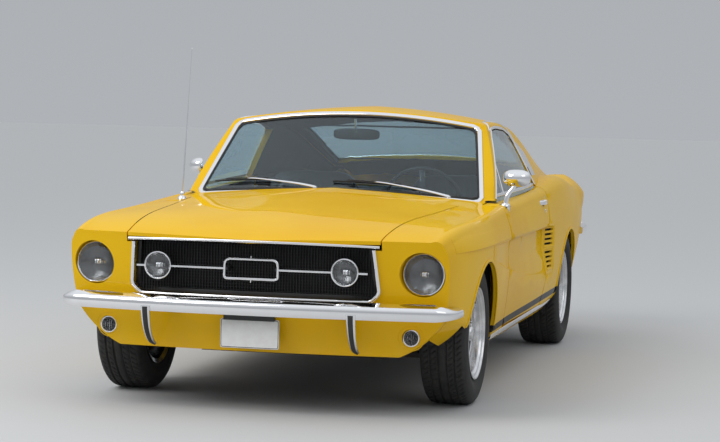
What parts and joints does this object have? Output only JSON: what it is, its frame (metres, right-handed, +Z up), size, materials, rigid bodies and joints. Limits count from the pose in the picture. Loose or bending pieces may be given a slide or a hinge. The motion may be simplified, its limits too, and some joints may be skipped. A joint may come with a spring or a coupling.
{
  "type": "muscle car",
  "caption": "Late-1960s style fastback muscle car with long hood, sloping roof, side scoops, opening doors, hood and boot lid, and steered wheels that turn.",
  "frame": {"origin": "on the ground, at the middle of the overall length and width", "axes": "+Z up, front of the car towards -Y, +X towards the car's left side"},
  "size_m": [1.848, 4.6626, 1.5701],
  "materials": {
    "body_paint": "gloss",
    "black_trim": "matte",
    "chrome_trim": "polished",
    "lamp_glass": "clear",
    "window_glass": "clear",
    "red_lens": "clear",
    "underbody_paint": "satin",
    "cast_iron": "rough",
    "pipe_steel": "satin",
    "black_vinyl": "satin",
    "tyre_rubber": "matte",
    "wheel_alloy": "polished"
  },
  "bodies": {
    "body": {"fenders": "body_paint", "nose_panel": "body_paint", "front_valance": "body_paint", "grille": "black_trim", "grille_surround": "chrome_trim", "front_lamps": "lamp_glass", "fixed_glass": "window_glass", "roof_panel": "body_paint", "quarter_panels": "body_paint", "tail_panel": "body_paint", "bumper_front": "chrome_trim", "bumper_rear": "chrome_trim", "tail_lamps": "red_lens", "floor_pan": "underbody_paint", "sills": "body_paint", "wheel_houses": "underbody_paint", "cowl": "body_paint", "front_structure": "underbody_paint", "engine_block": "cast_iron", "driveline": "cast_iron", "fuel_tank": "underbody_paint", "exhaust": "pipe_steel", "rear_axle": "cast_iron", "front_suspension": "cast_iron", "front_seats": "black_vinyl", "rear_seat": "black_vinyl", "dashboard": "black_trim", "steering_wheel": "black_trim", "wipers": "pipe_steel", "antenna": "chrome_trim"},
    "hood": {"hood": "body_paint"},
    "boot_lid": {"boot_lid": "body_paint"},
    "door_left": {"door_left": "body_paint", "door_glass_left": "window_glass"},
    "door_right": {"door_right": "body_paint", "door_glass_right": "window_glass"},
    "knuckle_left": {"knuckle_left": "cast_iron"},
    "knuckle_right": {"knuckle_right": "cast_iron"},
    "wheel_front_left": {"tyre_front_left": "tyre_rubber", "rim_front_left": "wheel_alloy"},
    "wheel_front_right": {"tyre_front_right": "tyre_rubber", "rim_front_right": "wheel_alloy"},
    "wheel_rear_left": {"tyre_rear_left": "tyre_rubber", "rim_rear_left": "wheel_alloy"},
    "wheel_rear_right": {"tyre_rear_right": "tyre_rubber", "rim_rear_right": "wheel_alloy"}
  },
  "joints": [
    {"name": "hood_hinge", "type": "hinge", "parent": "body", "child": "hood", "pos_m": [0, -1.0275, 0.918], "axis": [1, 0, 0], "range_deg": [-55, 0]},
    {"name": "boot_lid_hinge", "type": "hinge", "parent": "body", "child": "boot_lid", "pos_m": [0, 1.6515, 1.012], "axis": [1, 0, 0], "range_deg": [0, 60]},
    {"name": "door_left_hinge", "type": "hinge", "parent": "body", "child": "door_left", "pos_m": [0.865, -0.8335, 0.6], "axis": [0, 0, -1], "range_deg": [0, 65]},
    {"name": "door_right_hinge", "type": "hinge", "parent": "body", "child": "door_right", "pos_m": [-0.865, -0.8335, 0.6], "axis": [0, 0, 1], "range_deg": [0, 65]},
    {"name": "steer_left", "type": "hinge", "parent": "body", "child": "knuckle_left", "pos_m": [0.662, -1.5165, 0.318], "axis": [0, 0, 1], "range_deg": [-32, 32]},
    {"name": "steer_right", "type": "hinge", "parent": "body", "child": "knuckle_right", "pos_m": [-0.662, -1.5165, 0.318], "axis": [0, 0, 1], "range_deg": [-32, 32]},
    {"name": "spin_front_left", "type": "hinge", "parent": "knuckle_left", "child": "wheel_front_left", "pos_m": [0.738, -1.5165, 0.318], "axis": [1, 0, 0], "continuous": true},
    {"name": "spin_rear_left", "type": "hinge", "parent": "body", "child": "wheel_rear_left", "pos_m": [0.738, 1.2265, 0.318], "axis": [1, 0, 0], "continuous": true},
    {"name": "spin_front_right", "type": "hinge", "parent": "knuckle_right", "child": "wheel_front_right", "pos_m": [-0.738, -1.5165, 0.318], "axis": [1, 0, 0], "continuous": true},
    {"name": "spin_rear_right", "type": "hinge", "parent": "body", "child": "wheel_rear_right", "pos_m": [-0.738, 1.2265, 0.318], "axis": [1, 0, 0], "continuous": true}
  ],
  "couplings": [
    {"joint": "steer_right", "follows": "steer_left", "ratio": 1}
  ]
}
